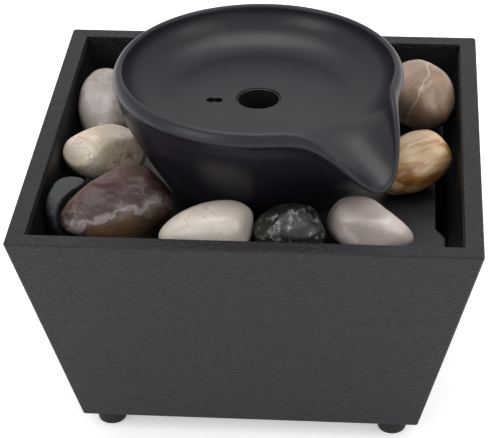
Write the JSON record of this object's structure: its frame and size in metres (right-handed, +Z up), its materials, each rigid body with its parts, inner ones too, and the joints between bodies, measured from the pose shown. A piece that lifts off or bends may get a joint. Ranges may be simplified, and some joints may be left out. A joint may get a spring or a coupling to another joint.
{
  "type": "tabletop water fountain",
  "caption": "Square tapered tabletop fountain with a spouted bowl above a bed of polished pebbles and a pump in its reservoir.",
  "frame": {"origin": "middle of the base, on the plane that the feet stand on", "axes": "+Z up, +X to the right, -Y to the front; the spout points between +X and -Y"},
  "size_m": [0.21, 0.21, 0.1575],
  "materials": {
    "casing_plastic": "fine leather grain, satin charcoal",
    "basin_plastic": "smooth satin black",
    "base_plastic": "fine matte black",
    "screw_steel": "zinc plated",
    "foot_rubber": "matte black",
    "grommet_rubber": "matte black",
    "pump_plastic": "fine matte black",
    "lamination_steel": "stacked laminations",
    "coil_copper": "enamelled copper wire",
    "potting_resin": "poured resin",
    "cup_rubber": "soft translucent grey rubber",
    "shaft_ceramic": "polished white ceramic",
    "tube_vinyl": "flexible black vinyl",
    "magnet_ferrite": "moulded ferrite",
    "impeller_plastic": "natural white plastic",
    "dial_plastic": "fine matte black",
    "tray_plastic": "smooth satin dark grey",
    "sleeve_rubber": "glossy black",
    "bowl_plastic": "soft satin black",
    "stone_back_left": "smooth, grey tan, fine grained",
    "stone_left_cream": "smooth cream with ochre pits",
    "stone_black_slate": "matte dark slate",
    "stone_red_jasper": "polished dark red with pale veins",
    "stone_front_cream": "smooth cream white",
    "stone_black_marble": "polished black with white veins",
    "stone_white_quartz": "smooth pale pink white",
    "stone_amber_agate": "polished golden amber",
    "stone_tan_agate": "polished tan pink with a pale vein"
  },
  "bodies": {
    "casing": {"outer_casing": "casing_plastic", "reservoir_basin": "basin_plastic", "base_plate": "base_plastic", "base_screws": "screw_steel", "foot_front_left": "foot_rubber", "foot_front_right": "foot_rubber", "foot_back_left": "foot_rubber", "foot_back_right": "foot_rubber", "cord_grommet": "grommet_rubber", "pump_housing": "pump_plastic", "stator_core": "lamination_steel", "stator_coil": "coil_copper", "potting_plug": "potting_resin", "impeller_cover": "pump_plastic", "intake_cover": "pump_plastic", "suction_cups": "cup_rubber", "rotor_shaft": "shaft_ceramic", "front_bush": "foot_rubber", "rear_bush": "foot_rubber", "riser_tube": "tube_vinyl"},
    "rotor": {"rotor_magnet": "magnet_ferrite", "impeller": "impeller_plastic"},
    "flow_dial": {"flow_dial": "dial_plastic"},
    "tray": {"rock_tray": "tray_plastic", "pebble_back_left": "stone_back_left", "pebble_left_cream": "stone_left_cream", "pebble_black_slate": "stone_black_slate", "pebble_red_jasper": "stone_red_jasper", "pebble_front_cream": "stone_front_cream", "pebble_black_marble": "stone_black_marble", "pebble_white_quartz": "stone_white_quartz", "pebble_amber_agate": "stone_amber_agate", "pebble_tan_agate": "stone_tan_agate"},
    "sleeve": {"outlet_sleeve": "sleeve_rubber"},
    "bowl": {"bowl": "bowl_plastic"}
  },
  "joints": [
    {"name": "impeller_spin", "type": "hinge", "parent": "casing", "child": "rotor", "pos_m": [0, 0, 0.0462], "axis": [0, 1, 0], "continuous": true},
    {"name": "flow_dial_turn", "type": "hinge", "parent": "casing", "child": "flow_dial", "pos_m": [0, -0.024, 0.0462], "axis": [0, 1, 0], "range_deg": [0, 90]},
    {"name": "tray_lift", "type": "slide", "parent": "casing", "child": "tray", "axis": [0, 0, 1], "range_m": [0, 0.05]},
    {"name": "bowl_lift", "type": "slide", "parent": "tray", "child": "sleeve", "axis": [0, 0, 1], "range_m": [0, 0.075]},
    {"name": "bowl_swivel", "type": "hinge", "parent": "sleeve", "child": "bowl", "pos_m": [0, 0, 0.1246], "axis": [0, 0, 1], "range_deg": [-18, 30]}
  ]
}
